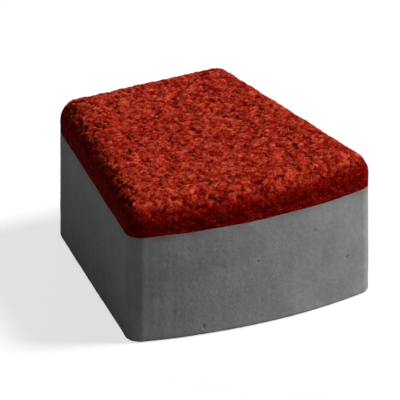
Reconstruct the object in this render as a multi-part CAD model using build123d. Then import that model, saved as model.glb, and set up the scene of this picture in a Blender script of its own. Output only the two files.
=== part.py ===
from build123d import *
import math
import os

# A tapered concrete paving block for paving laid in rings. It is pressed in one mould from two
# mixes: a grey base and, bonded on top of it, a red face layer with rounded edges.
# Millimetres, +Z up. The origin is the centre of the underside, the wide bowed end faces -Y and
# the narrow end, which points at the centre of the ring, faces +Y.

# Plan of the block
wide_width = 106.0  # across the sharp corners of the bowed end, before they are rounded
narrow_width = 72.0  # across the sharp corners of the narrow end, before they are rounded
depth = 106.0  # from the narrow end to the crown of the bowed end
bow_radius = 196.0  # the bowed end's own curve

# Heights of the two mixes
base_height = 45.5
face_thickness = 14.5

# Rounding
corner_radius = 6.5  # the four upright corners
edge_radius = 9.0  # all round the top face


def plan_outline():
    """The block's plan: two straight tapering sides, a straight narrow end and a bowed wide end."""
    bow_rise = bow_radius - math.sqrt(bow_radius**2 - (wide_width / 2) ** 2)
    crown = (0, -depth / 2)
    wide_left = (-wide_width / 2, -depth / 2 + bow_rise)
    wide_right = (wide_width / 2, -depth / 2 + bow_rise)
    narrow_left = (-narrow_width / 2, depth / 2)
    narrow_right = (narrow_width / 2, depth / 2)
    bow = ThreePointArc(wide_left, crown, wide_right)
    sides = Polyline(wide_right, narrow_right, narrow_left, wide_left)
    outline = make_face([bow, *sides.edges()])
    return fillet(outline.vertices(), corner_radius)


def base_block():
    """The grey base, straight-sided and sharp-edged at the bottom as it leaves the mould."""
    return extrude(plan_outline(), base_height)


def face_layer():
    """The red face layer on the base, flush with its sides and rounded along its top edge."""
    slab = Pos(0, 0, base_height) * extrude(plan_outline(), face_thickness)
    top_edges = slab.faces().sort_by(Axis.Z)[-1].edges()
    return fillet(top_edges, edge_radius)


os.makedirs("parts", exist_ok=True)
export_step(base_block(), "parts/base_block.step")
export_step(face_layer(), "parts/face_layer.step")
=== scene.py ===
import math

import bpy
import numpy as np
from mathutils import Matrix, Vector, noise

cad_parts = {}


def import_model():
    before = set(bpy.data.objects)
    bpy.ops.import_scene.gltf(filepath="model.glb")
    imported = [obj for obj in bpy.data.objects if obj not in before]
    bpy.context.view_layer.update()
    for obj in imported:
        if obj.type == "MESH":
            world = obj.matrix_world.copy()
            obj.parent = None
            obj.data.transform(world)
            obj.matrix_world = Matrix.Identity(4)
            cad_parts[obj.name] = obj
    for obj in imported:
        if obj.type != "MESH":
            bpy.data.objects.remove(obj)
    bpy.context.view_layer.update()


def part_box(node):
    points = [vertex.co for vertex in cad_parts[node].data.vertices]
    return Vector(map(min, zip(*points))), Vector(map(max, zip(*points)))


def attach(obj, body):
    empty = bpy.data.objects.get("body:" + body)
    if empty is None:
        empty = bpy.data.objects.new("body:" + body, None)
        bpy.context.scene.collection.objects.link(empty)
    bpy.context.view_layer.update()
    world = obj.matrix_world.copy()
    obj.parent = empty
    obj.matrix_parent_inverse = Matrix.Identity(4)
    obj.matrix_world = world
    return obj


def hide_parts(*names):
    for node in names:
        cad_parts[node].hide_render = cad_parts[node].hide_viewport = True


# The looks of a tapered concrete paving block: a grey base and a red face layer, each a closed mesh
# whose grain, pores and worn edges are cut into it. Metres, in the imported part's frame: +Z up, the
# bowed wide end towards -Y, the narrow end towards +Y.

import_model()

MM = 0.001

# Heights and depth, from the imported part
base_low, base_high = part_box("base_block")
face_low, face_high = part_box("face_layer")
JOINT_Z = face_low.z
TOP_Z = face_high.z
DEPTH = base_high.y - base_low.y

# Plan and rounding, as in the part's source
WIDE_WIDTH = 106 * MM
NARROW_WIDTH = 72 * MM
BOW_RADIUS = 196 * MM
EDGE_RADIUS = 9 * MM
CORNER_RADIUS = 6.5 * MM
TOP_CORNER_RADIUS = 1.5 * MM  # of the flat top, which the rounded edge leaves with tighter corners

# Mesh steps: along the ends, along the sides and round each corner
FACE_STEPS = (190, 200, 26)
BASE_STEPS = (150, 160, 18)
FACE_ROUND_LEVELS = 26
FACE_WALL_LEVELS = 18
BASE_WALL_LEVELS = 70
BOTTOM_WEAR_LEVELS = 4
SHARP_ANGLE = math.radians(70)  # faces that meet at more than this show an edge

# Noise: how far apart the patterns of two seeds lie, in steps of the pattern
CLOUD_STEPS = (3.17, 5.71, 7.93)
CELL_STEPS = (2.39, 4.57, 6.13)
TONE_STEP = 7.3  # large enough that neighbouring cells have tones of their own

# Relief of the red face: sand grains of three sizes bedded in paste, with pits between them
GRAIN_SIZES = (2.9 * MM, 1.9 * MM, 1.2 * MM)
GRAIN_HEIGHTS = (0.44 * MM, 0.36 * MM, 0.28 * MM)
GRAIN_RADIUS = 0.62  # as a share of the grain's size
GRAIN_LIFT = 0.16 * MM  # how much prouder some grains stand than others
BEND = 0.6 * MM  # how far grains and pits are off round
BEND_SIZE = 2.5 * MM
PASTE_DEPTH = 0.12 * MM
PASTE_SIZE = 1.5 * MM
PASTE_HEIGHT = 0.06 * MM
PASTE_TONE = 0.3
PASTE_TONE_SPREAD = 0.4
LUMP_SIZE = 6 * MM
LUMP_HEIGHT = 0.25 * MM
LUMP_LAYERS = 2
PIT_SIZE = 2 * MM
PIT_DEPTH = 0.45 * MM
PIT_LEVELS = (0.12, 0.45)  # of the pits' noise, at their brim and at their floor
HIGHEST = 99.5  # per cent of the points lie below the solid's surface, and the rest are cut level with it
HOLLOW_SHADE_DEPTHS = (0.4 * MM, 0.95 * MM)  # where the painted shade of the hollows sets in, and where it is full
WALL_SHARE = 0.45  # of the top's relief is left on the wall, which was pressed against the mould
TOP_FACING = 0.6  # where a surface's direction rises by this much, its relief is the top's
PAINTED_SHADE_LOW = 8.5 * MM  # painted shade darkens the wall up to this height above the boundary to the grey
PAINTED_SHADE_HIGH = 12.8 * MM  # and has the colour of the top from this height on

# Relief of the grey base: fine sand, upright marks of the mould, a gentle swell and pores
SAND_SIZE = 1.4 * MM
SAND_HEIGHT = 0.07 * MM
SAND_RADIUS = 0.8  # as a share of the sand's size
DRAW_SIZE = 2.4 * MM
DRAW_HEIGHT = 0.1 * MM
DRAW_LENGTH = 20  # times as long as wide
SWELL_SIZE = 22 * MM
SWELL_HEIGHT = 0.25 * MM
SWELL_LAYERS = 3
PORE_SPACING = 4.5 * MM
PORE_RADIUS = 0.6 * MM
PORE_LEAST = 0.01 * MM  # radius where there is no pore to be seen
PORE_TONES = (0.6, 1.0)  # a cell's tone from which it has a pore, and at which the pore is full size
PORE_FLOOR = 0.4  # as a share of the pore's radius
PORE_DEPTH = 0.4 * MM
BOTTOM_WEAR = 0.9 * MM

# Tones of the grey base
MOTTLE_SIZE = 12 * MM
MOTTLE_SPREAD = 0.35
MOTTLE_LAYERS = 4
SAND_TONE_SPREAD = 0.25
STAIN_HEIGHT = 4 * MM  # red pigment has washed this far down over the grey
STAIN_SIZE = 7 * MM
STAIN_LEVELS = (-0.5, 0.5)  # of the stain's noise, where there is none and where it is full

# The boundary between the two mixes
JOINT_WAVE = 0.3 * MM
JOINT_WAVE_SIZE = 16 * MM
JOINT_RIPPLE_SIZE = 5 * MM
JOINT_RIPPLE_SHARE = 0.5  # of the wave's height
JOINT_DEPTH = 0.2 * MM
JOINT_BLEND = 2 * MM

# Colours. A list holds the stops of a ramp, and shades are multiplied into the colour.
RED_TONES = [(0.1, (0.25, 0.005, 0.003)), (0.5, (0.36, 0.016, 0.007)), (0.9, (0.49, 0.046, 0.02))]
SPECK_SHADES = [(0.0, (0.62, 0.2, 0.2)), (1.0, (1.3, 2.0, 2.0))]
GRIT_SHADES = [(0.3, (0.7, 0.55, 0.55)), (0.7, (1.3, 1.45, 1.45))]
# painted shade in the red face's deeper hollows
RED_PIT_SHADE = (0.09, 0.002, 0.001, 1)
# painted shade of the wall and the lower rounded edge of the red face
PAINTED_WALL_SHADE = (0.6, 0.15, 0.15, 1)
GREY_TONES = [(0.2, (0.345, 0.348, 0.352)), (0.5, (0.395, 0.398, 0.402)), (0.8, (0.445, 0.448, 0.45))]
# painted shade in the grey base's pores
GREY_PORE_SHADE = (0.16, 0.16, 0.165, 1)
STAIN_SHADE = (1.04, 0.78, 0.76, 1)
WHITE = (1, 1, 1, 1)

# Relief in the materials, finer or softer than the mesh's: size, depth of the bump, and its strength
BROAD_SIZE = 5 * MM
BROAD_DEPTH = 3.2 * MM
BROAD_STRENGTHS = (1.0, 0.3)  # on the top, and on the wall
BROAD_DETAIL = 1.0
SPECK_SIZE = 0.95 * MM
SPECK_DEPTH = 0.35 * MM
SPECK_STRENGTH = 0.7
RED_GRIT_SIZE = 0.6 * MM
RED_GRIT_DEPTH = 0.6 * MM
RED_GRIT_STRENGTH = 0.5
GREY_GRIT_SIZE = 0.5 * MM
GREY_GRIT_DEPTH = 0.5 * MM
GREY_GRIT_STRENGTH = 0.25
GRIT_DETAIL = 3.0

# Gloss: roughness between two values, and the strength of reflections
RED_ROUGHNESS = (0.84, 0.98)
RED_SHINE = 0.02
GREY_ROUGHNESS = (0.86, 0.98)
GREY_SHINE = 0.15

# Floor and world: what they give the block as light, and what is seen of them
FLOOR_SIZE = 8
FLOOR_BOUNCE = (0.2, 0.2, 0.2, 1)
FLOOR_SEEN = (0.3, 0.3, 0.3, 1)
FLOOR_GLOW = 0.72
SKY_LIGHT = 0.05
SKY_SEEN = 1.0

# Camera
VIEW_AZIMUTH = math.radians(-26)
VIEW_ELEVATION = math.radians(27)
VIEW_WIDTH = 0.155
CAMERA_DISTANCE = 1.5


def arc(centre, radius, start, end, count):
    """Points on an arc, count steps from angle start to angle end."""
    angles = np.linspace(start, end, count + 1)
    return centre + radius * np.column_stack([np.cos(angles), np.sin(angles)])


def corner_centres(reach):
    """Centres of the two right-hand corner roundings, each lying reach inside the edges that meet there.
    Also the centre of the bow and the outward direction of the right side."""
    bow_rise = BOW_RADIUS - math.sqrt(BOW_RADIUS**2 - (WIDE_WIDTH / 2) ** 2)
    wide = np.array([WIDE_WIDTH / 2, -DEPTH / 2 + bow_rise])
    narrow = np.array([NARROW_WIDTH / 2, DEPTH / 2])
    along = (narrow - wide) / np.linalg.norm(narrow - wide)
    outward = np.array([along[1], -along[0]])
    bow_centre = np.array([0, -DEPTH / 2 + BOW_RADIUS])
    start = wide - reach * outward
    from_centre = start - bow_centre
    ahead = from_centre @ along
    back = -ahead - math.sqrt(ahead**2 - from_centre @ from_centre + (BOW_RADIUS - reach) ** 2)
    wide_centre = start + back * along
    narrow_centre = start + (DEPTH / 2 - reach - start[1]) / along[1] * along
    return wide_centre, narrow_centre, bow_centre, outward


def plan_outline(inset, corner, steps):
    """The block's plan drawn in by inset, with its corners rounded: points anticlockwise from the middle of
    the left wide corner. Every outline with the same steps has its points in the same order."""
    end_steps, side_steps, corner_steps = steps
    wide_centre, narrow_centre, bow_centre, outward = corner_centres(inset + corner)
    to_wide = wide_centre - bow_centre
    bow_end = math.atan2(to_wide[1], to_wide[0])
    side_angle = math.atan2(outward[1], outward[0])
    half_end = end_steps // 2
    bow = arc(bow_centre, BOW_RADIUS - inset, -math.pi / 2, bow_end, half_end)
    wide_arc = arc(wide_centre, corner, bow_end, side_angle, corner_steps)
    narrow_arc = arc(narrow_centre, corner, side_angle, math.pi / 2, corner_steps)
    side = np.linspace(wide_arc[-1], narrow_arc[0], side_steps + 1)
    end = np.linspace(narrow_arc[-1], [0, DEPTH / 2 - inset], half_end + 1)
    right = np.vstack([bow, wide_arc[1:], side[1:], narrow_arc[1:], end[1:]])
    left = (right * [-1, 1])[::-1][1:-1]
    return np.roll(np.vstack([right, left]), half_end + corner_steps // 2, axis=0)


class Shell:
    """A mesh built from rings, each an outline of the block at a level, and of grids that fill a ring."""

    def __init__(self, steps):
        self.steps = steps
        end_steps, side_steps, corner_steps = steps
        self.across = 2 * (end_steps // 2) + corner_steps
        self.along = side_steps + corner_steps
        self.points = np.empty((0, 3))
        self.quads = []
        self.caps = []

    def ring(self, inset, corner, z):
        """Adds an outline at height z, and gives the numbers of its points."""
        flat = plan_outline(inset, corner, self.steps)
        first = len(self.points)
        self.points = np.vstack([self.points, np.column_stack([flat, np.broadcast_to(z, len(flat))])])
        return np.arange(first, first + len(flat))

    def band(self, lower, upper):
        """Joins two rings with faces that look outwards."""
        after = np.roll(np.arange(len(lower)), -1)
        self.quads.append(np.column_stack([lower, lower[after], upper[after], upper]))

    def grid(self, ring, upward):
        """Fills a ring with faces in rows from end to end and from side to side."""
        across, along = self.across, self.along
        near = ring[: across + 1]
        right = ring[across : across + along + 1]
        far = ring[across + along : 2 * across + along + 1][::-1]
        left = np.append(ring[2 * across + along :], ring[0])[::-1]
        inside = self.blended(near, far, left, right)[1:-1, 1:-1].reshape(-1, 3)
        new = np.arange(len(self.points), len(self.points) + len(inside))
        numbers = np.empty((across + 1, along + 1), int)
        numbers[:, 0] = near
        numbers[:, -1] = far
        numbers[0] = left
        numbers[-1] = right
        numbers[1:-1, 1:-1] = new.reshape(across - 1, along - 1)
        self.points = np.vstack([self.points, inside])
        corners = [numbers[:-1, :-1], numbers[1:, :-1], numbers[1:, 1:], numbers[:-1, 1:]]
        quads = np.stack(corners, axis=-1).reshape(-1, 4)
        self.quads.append(quads if upward else quads[:, ::-1])

    def blended(self, near, far, left, right):
        """Places in rows and columns that go over evenly from each edge to the one across from it."""
        at = self.points
        u = np.linspace(0, 1, len(near))[:, None, None]
        v = np.linspace(0, 1, len(left))[None, :, None]
        near_bow = at[near][:, None] - ((1 - u) * at[near[0]] + u * at[near[-1]])
        far_bow = at[far][:, None] - ((1 - u) * at[far[0]] + u * at[far[-1]])
        return (1 - v) * near_bow + v * far_bow + (1 - u) * at[left][None] + u * at[right][None]

    def cap(self, ring, upward):
        """Closes a ring with one face."""
        self.caps.append((ring if upward else ring[::-1]).tolist())

    def outward(self):
        """The direction straight out of the surface at each point, leaving the caps out of account."""
        quads = np.vstack(self.quads)
        a, b, c, d = (self.points[quads[:, k]] for k in range(4))
        facing = np.cross(c - a, d - b)
        normals = np.zeros_like(self.points)
        for k in range(4):
            np.add.at(normals, quads[:, k], facing)
        return normals / np.linalg.norm(normals, axis=1)[:, None]

    def build(self, name, relief):
        """Makes the object. For each point, relief gives its depth below the surface and the values that
        the material reads."""
        normals = self.outward()
        depth, values = relief(self.points, normals)
        mesh = bpy.data.meshes.new(name)
        places = self.points - depth[:, None] * normals
        mesh.from_pydata(places.tolist(), [], np.vstack(self.quads).tolist() + self.caps)
        for label, value in values.items():
            attribute = mesh.attributes.new(label, "FLOAT", "POINT")
            attribute.data.foreach_set("value", value.astype(np.float32))
        mesh.polygons.foreach_set("use_smooth", [True] * len(mesh.polygons))
        mesh.set_sharp_from_angle(angle=SHARP_ANGLE)
        piece = bpy.data.objects.new(name, mesh)
        bpy.context.scene.collection.objects.link(piece)
        return piece


def smooth(low, high, x):
    """0 up to low, 1 from high on, and an even curve between them."""
    t = np.clip((x - low) / (high - low), 0, 1)
    return t * t * (3 - 2 * t)


def clouds(points, size, seed):
    """Smooth noise, about -1 to 1, with features of the given size."""
    shift = Vector([seed * step for step in CLOUD_STEPS])
    return np.array([noise.noise(Vector(p) + shift) for p in (points / size).tolist()])


def layered(points, size, seed, layers):
    """Clouds of the given size with finer and finer ones on them, each half as large and half as strong."""
    return sum(clouds(points, size / 2**k, seed + k) / 2**k for k in range(layers))


def cells(points, size, seed):
    """Splits space into cells about size apart: each point's distance from the middle of its cell, as a share
    of size, and the cell's own tone, 0 to 1."""
    shift = Vector([seed * step for step in CELL_STEPS])
    reach = np.empty(len(points))
    tone = np.empty(len(points))
    for i, p in enumerate((points / size).tolist()):
        distances, centres = noise.voronoi(Vector(p) + shift)
        reach[i] = distances[0]
        tone[i] = 0.5 + 0.5 * noise.cell(centres[0] * TONE_STEP)
    return reach, tone


def near_joint(points, reach):
    """1 at the boundary between the two mixes, down to 0 at reach above or below it."""
    return 1 - smooth(0, reach, np.abs(points[:, 2] - JOINT_Z))


def flush(points, depth):
    """Brings a relief to one depth at the boundary between the mixes, where the two lie flush."""
    share = near_joint(points, JOINT_BLEND)
    return (1 - share) * depth + share * JOINT_DEPTH


def sand_grains(points):
    """Sand grains of three sizes in paste: their height and each one's own tone. The highest one shows."""
    height = PASTE_HEIGHT * clouds(points, PASTE_SIZE, seed=61) - PASTE_DEPTH
    tone = PASTE_TONE + PASTE_TONE_SPREAD * clouds(points, PASTE_SIZE, seed=62)
    for seed, (size, rise) in enumerate(zip(GRAIN_SIZES, GRAIN_HEIGHTS), start=1):
        reach, own_tone = cells(points, size, seed)
        grain = rise * (1 - (reach / GRAIN_RADIUS) ** 2) + GRAIN_LIFT * (own_tone - 0.5)
        tone = np.where(grain > height, own_tone, tone)
        height = np.maximum(grain, height)
    return height, tone


def face_relief(points, normals):
    """The red face: sand grains on a lumpy ground with pits between them, smoother on the wall than on
    the top."""
    bent = points + BEND * np.column_stack([clouds(points, BEND_SIZE, seed) for seed in (11, 12, 13)])
    height, tone = sand_grains(bent)
    pits = smooth(*PIT_LEVELS, clouds(bent, PIT_SIZE, seed=31))
    height += LUMP_HEIGHT * layered(points, LUMP_SIZE, seed=21, layers=LUMP_LAYERS) - PIT_DEPTH * pits
    share = WALL_SHARE + (1 - WALL_SHARE) * smooth(0, TOP_FACING, normals[:, 2])
    depth = flush(points, share * np.clip(np.percentile(height, HIGHEST) - height, 0, None))
    # mask of the painted shade on the wall and the lower rounded edge, which also weakens the lumps there
    painted_shade_band = 1 - smooth(PAINTED_SHADE_LOW, PAINTED_SHADE_HIGH, points[:, 2] - JOINT_Z)
    # the hollow mask carries painted shade into the deeper hollows
    return depth, {"painted_hollow_shade": smooth(*HOLLOW_SHADE_DEPTHS, depth), "tone": tone, "painted_shade_band": painted_shade_band}


def base_relief(points, normals):
    """The grey base: fine sand, upright marks of the mould, a gentle swell and a few pores."""
    reach, sand_tone = cells(points, SAND_SIZE, seed=6)
    sand = np.clip(1 - (reach / SAND_RADIUS) ** 2, 0, 1)
    drawn = 0.5 + 0.5 * clouds(points * np.array([1, 1, 1 / DRAW_LENGTH]), DRAW_SIZE, seed=8)
    swell = 0.5 + 0.5 * layered(points, SWELL_SIZE, seed=9, layers=SWELL_LAYERS)
    pore_reach, pore_tone = cells(points, PORE_SPACING, seed=7)
    radius = PORE_RADIUS * smooth(*PORE_TONES, pore_tone) + PORE_LEAST
    pores = 1 - smooth(PORE_FLOOR, 1, pore_reach * PORE_SPACING / radius)
    depth = SAND_HEIGHT * (1 - sand) + DRAW_HEIGHT * drawn + SWELL_HEIGHT * swell + PORE_DEPTH * pores
    mottle = MOTTLE_SPREAD * layered(points, MOTTLE_SIZE, seed=41, layers=MOTTLE_LAYERS)
    tone = 0.5 + mottle + SAND_TONE_SPREAD * (sand_tone - 0.5)
    patches = smooth(*STAIN_LEVELS, clouds(points, STAIN_SIZE, seed=51))
    stain = near_joint(points, STAIN_HEIGHT) * patches
    # the pores' mask also carries painted shade into them
    return flush(points, depth), {"painted_hollow_shade": pores, "tone": tone, "stain": stain}


def joint_height(steps):
    """Height of the boundary between the two mixes all round the block, which wanders a little."""
    plan = plan_outline(0, CORNER_RADIUS, steps)
    flat = np.column_stack([plan, np.zeros(len(plan))])
    wave = clouds(flat, JOINT_WAVE_SIZE, seed=3)
    ripple = JOINT_RIPPLE_SHARE * clouds(flat, JOINT_RIPPLE_SIZE, seed=4)
    return JOINT_Z + JOINT_WAVE * (wave + ripple)


def face_shell():
    """The red face layer: a wall, a rounded edge and a flat top."""
    shell = Shell(FACE_STEPS)
    joint_z = joint_height(FACE_STEPS)
    below = shell.ring(0, CORNER_RADIUS, joint_z)
    shell.cap(below, upward=False)
    wall_top = TOP_Z - EDGE_RADIUS
    for share in np.linspace(0, 1, FACE_WALL_LEVELS + 1)[1:]:
        ring = shell.ring(0, CORNER_RADIUS, joint_z + share * (wall_top - joint_z))
        shell.band(below, ring)
        below = ring
    for tilt in np.linspace(0, math.pi / 2, FACE_ROUND_LEVELS + 1)[1:]:
        inset = 1 - math.cos(tilt)
        corner = CORNER_RADIUS + inset * (TOP_CORNER_RADIUS - CORNER_RADIUS)
        ring = shell.ring(EDGE_RADIUS * inset, corner, wall_top + EDGE_RADIUS * math.sin(tilt))
        shell.band(below, ring)
        below = ring
    shell.grid(below, upward=True)
    return shell.build("red_face", face_relief)


def base_shell():
    """The grey base: a flat underside, a slightly worn bottom edge and a wall."""
    shell = Shell(BASE_STEPS)
    joint_z = joint_height(BASE_STEPS)
    below = shell.ring(BOTTOM_WEAR, CORNER_RADIUS - BOTTOM_WEAR, 0)
    shell.grid(below, upward=False)
    for tilt in np.linspace(-math.pi / 2, 0, BOTTOM_WEAR_LEVELS + 1)[1:]:
        inset = BOTTOM_WEAR * (1 - math.cos(tilt))
        ring = shell.ring(inset, CORNER_RADIUS - inset, BOTTOM_WEAR * (1 + math.sin(tilt)))
        shell.band(below, ring)
        below = ring
    for share in np.linspace(0, 1, BASE_WALL_LEVELS + 1)[1:]:
        ring = shell.ring(0, CORNER_RADIUS, BOTTOM_WEAR + share * (joint_z - BOTTOM_WEAR))
        shell.band(below, ring)
        below = ring
    shell.cap(below, upward=True)
    return shell.build("grey_base", base_relief)


class Nodes:
    """A short way to add shader nodes and links to a material or a world."""

    def __init__(self, owner):
        self.owner = owner
        owner.use_nodes = True
        self.tree = owner.node_tree

    def add(self, kind, **settings):
        """A new node. Each setting is one of its properties, or else the value of an input."""
        node = self.tree.nodes.new(kind)
        for key, value in settings.items():
            if hasattr(node, key):
                setattr(node, key, value)
            else:
                node.inputs[key].default_value = value
        return node

    def put(self, value, socket):
        """Links a socket to a node's output, or sets it to a plain value."""
        if isinstance(value, bpy.types.NodeSocket):
            self.tree.links.new(value, socket)
        else:
            socket.default_value = value

    def attribute(self, name):
        """A value that the mesh has at each point."""
        return self.add("ShaderNodeAttribute", attribute_name=name).outputs["Fac"]

    def pattern(self, kind, size, **settings):
        """A texture node in the block's own space, with features of the given size."""
        node = self.add(kind, Scale=1 / size, **settings)
        self.put(self.add("ShaderNodeTexCoord").outputs["Object"], node.inputs["Vector"])
        return node

    def clouds(self, size, detail):
        """Smooth noise, 0 to 1."""
        return self.pattern("ShaderNodeTexNoise", size, Detail=detail).outputs["Fac"]

    def specks(self, size):
        """Grains of the given size: the distance from each one's middle, and its own shade."""
        node = self.pattern("ShaderNodeTexVoronoi", size)
        split = self.add("ShaderNodeSeparateColor")
        self.put(node.outputs["Color"], split.inputs["Color"])
        return node.outputs["Distance"], split.outputs["Red"]

    def ramp(self, value, stops):
        """Turns a value between 0 and 1 into a colour."""
        node = self.add("ShaderNodeValToRGB")
        elements = node.color_ramp.elements
        for stop in stops[2:]:
            elements.new(stop[0])
        for element, (position, colour) in zip(elements, stops):
            element.position = position
            element.color = (*colour, 1)
        self.put(value, node.inputs["Fac"])
        return node.outputs["Color"]

    def mix(self, share, first, second, mode="MIX"):
        """Goes over from one colour to another, or lays the second over the first in another mode."""
        node = self.add("ShaderNodeMix", data_type="RGBA", blend_type=mode)
        for value, socket in ((share, "Factor"), (first, "A"), (second, "B")):
            self.put(value, node.inputs[socket])
        return node.outputs["Result"]

    def multiply(self, colour, shade, share=1.0):
        """A colour with a shade multiplied into it, or into a share of it."""
        return self.mix(share, colour, shade, "MULTIPLY")

    def spread(self, value, low, high):
        """Brings a value between 0 and 1 to one between low and high."""
        node = self.add("ShaderNodeMapRange")
        self.put(value, node.inputs["Value"])
        self.put(low, node.inputs["To Min"])
        self.put(high, node.inputs["To Max"])
        return node.outputs["Result"]

    def bump(self, height, depth, strength, under=None):
        """Relief in the shading alone, on top of the bump given as under."""
        node = self.add("ShaderNodeBump", Distance=depth)
        self.put(height, node.inputs["Height"])
        self.put(strength, node.inputs["Strength"])
        if under:
            self.put(under, node.inputs["Normal"])
        return node.outputs["Normal"]

    def sees_backdrop(self):
        """1 for rays that show the backdrop, to the camera or by way of a mirror or glass, and else 0."""
        path = self.add("ShaderNodeLightPath")
        seen = path.outputs["Is Camera Ray"]
        for kind in ("Is Glossy Ray", "Is Transmission Ray"):
            either = self.add("ShaderNodeMath", operation="MAXIMUM")
            self.put(seen, either.inputs[0])
            self.put(path.outputs[kind], either.inputs[1])
            seen = either.outputs["Value"]
        return seen

    def surface(self, colour, roughness, shine, **others):
        """Sets the shader, and gives the finished material."""
        shader = self.tree.nodes["Principled BSDF"]
        values = {"Base Color": colour, "Roughness": roughness, "Specular IOR Level": shine, **others}
        for name, value in values.items():
            self.put(value, shader.inputs[name])
        return self.owner


def red_concrete():
    """Grains of many tones of one pigment, painted shade in the hollows and on the wall and lower rounded
    edge, with lumps, specks and grit.
    """
    nodes = Nodes(bpy.data.materials.new("red_concrete"))
    painted_shade_band = nodes.attribute("painted_shade_band")
    grit = nodes.clouds(RED_GRIT_SIZE, GRIT_DETAIL)
    speck_reach, speck_shade = nodes.specks(SPECK_SIZE)
    colour = nodes.ramp(nodes.attribute("tone"), RED_TONES)
    colour = nodes.multiply(colour, nodes.ramp(speck_shade, SPECK_SHADES))
    colour = nodes.multiply(colour, nodes.ramp(grit, GRIT_SHADES))
    # painted shade in the deeper hollows
    colour = nodes.mix(nodes.attribute("painted_hollow_shade"), colour, RED_PIT_SHADE)
    # painted shade on the wall and the lower rounded edge
    colour = nodes.multiply(colour, PAINTED_WALL_SHADE, painted_shade_band)
    broad = nodes.clouds(BROAD_SIZE, BROAD_DETAIL)
    lumps = nodes.bump(broad, BROAD_DEPTH, nodes.spread(painted_shade_band, *BROAD_STRENGTHS))
    domes = nodes.bump(nodes.spread(speck_reach, 1, 0), SPECK_DEPTH, SPECK_STRENGTH, under=lumps)
    normal = nodes.bump(grit, RED_GRIT_DEPTH, RED_GRIT_STRENGTH, under=domes)
    return nodes.surface(colour, nodes.spread(grit, *RED_ROUGHNESS), RED_SHINE, Normal=normal)


def grey_concrete():
    """Mottled grey with painted shade in the pores, a red stain below the face layer and grit."""
    nodes = Nodes(bpy.data.materials.new("grey_concrete"))
    grit = nodes.clouds(GREY_GRIT_SIZE, GRIT_DETAIL)
    colour = nodes.ramp(nodes.attribute("tone"), GREY_TONES)
    # painted shade in the pores
    colour = nodes.mix(nodes.attribute("painted_hollow_shade"), colour, GREY_PORE_SHADE)
    colour = nodes.multiply(colour, STAIN_SHADE, nodes.attribute("stain"))
    normal = nodes.bump(grit, GREY_GRIT_DEPTH, GREY_GRIT_STRENGTH)
    return nodes.surface(colour, nodes.spread(grit, *GREY_ROUGHNESS), GREY_SHINE, Normal=normal)


def pale_floor():
    """White to the camera but for the block's shadow, and dark enough elsewhere to throw back little
    light."""
    nodes = Nodes(bpy.data.materials.new("pale_floor"))
    seen = nodes.sees_backdrop()
    colour = nodes.mix(seen, FLOOR_BOUNCE, FLOOR_SEEN)
    glow = {"Emission Color": WHITE, "Emission Strength": nodes.spread(seen, 0, FLOOR_GLOW)}
    return nodes.surface(colour, 1.0, 0.0, **glow)


def floor():
    """A plain floor under the block, which is no part of it."""
    bpy.ops.mesh.primitive_plane_add(size=FLOOR_SIZE)
    plane = bpy.context.object
    plane.name = "floor"
    plane.data.materials.append(pale_floor())


def world():
    """White to the camera, and a faint even light from all round."""
    nodes = Nodes(bpy.data.worlds.new("studio"))
    background = nodes.tree.nodes["Background"]
    nodes.put(WHITE, background.inputs["Color"])
    nodes.put(nodes.spread(nodes.sees_backdrop(), SKY_LIGHT, SKY_SEEN), background.inputs["Strength"])
    bpy.context.scene.world = nodes.owner


def direction(azimuth, elevation):
    """From the block towards a camera or lamp: azimuth 0 is -Y and 90 degrees is +X."""
    flat = math.cos(elevation)
    return Vector((flat * math.sin(azimuth), -flat * math.cos(azimuth), math.sin(elevation)))


def lamp(name, side, elevation, strength, spread):
    """A sun, side degrees round to the right of the camera's direction and spread degrees wide."""
    light = bpy.data.lights.new(name, "SUN")
    light.energy = strength * math.pi
    light.angle = math.radians(spread)
    holder = bpy.data.objects.new(name, light)
    towards = direction(VIEW_AZIMUTH + math.radians(side), math.radians(elevation))
    holder.rotation_euler = towards.to_track_quat("Z", "Y").to_euler()
    holder.location = towards
    bpy.context.scene.collection.objects.link(holder)


def camera():
    """A parallel view at the photograph's angle, centred on the block."""
    data = bpy.data.cameras.new("camera")
    data.type = "ORTHO"
    data.ortho_scale = VIEW_WIDTH
    holder = bpy.data.objects.new("camera", data)
    towards = direction(VIEW_AZIMUTH, VIEW_ELEVATION)
    target = Vector((0, 0, TOP_Z / 2))
    holder.location = target + CAMERA_DISTANCE * towards
    holder.rotation_euler = towards.to_track_quat("Z", "Y").to_euler()
    bpy.context.scene.collection.objects.link(holder)
    bpy.context.scene.camera = holder


def dress(piece, node, material):
    """Lets a piece stand for a CAD node: gives it a material, hides the node and attaches the piece to the
    root body.
    """
    piece.data.materials.append(material)
    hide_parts(node)
    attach(piece, "root")


dress(face_shell(), "face_layer", red_concrete())
dress(base_shell(), "base_block", grey_concrete())
floor()
world()
lamp("key", side=96, elevation=50, strength=1.13, spread=14)
lamp("back", side=186, elevation=12, strength=0.25, spread=40)
camera()
bpy.context.scene.view_settings.view_transform = "Standard"
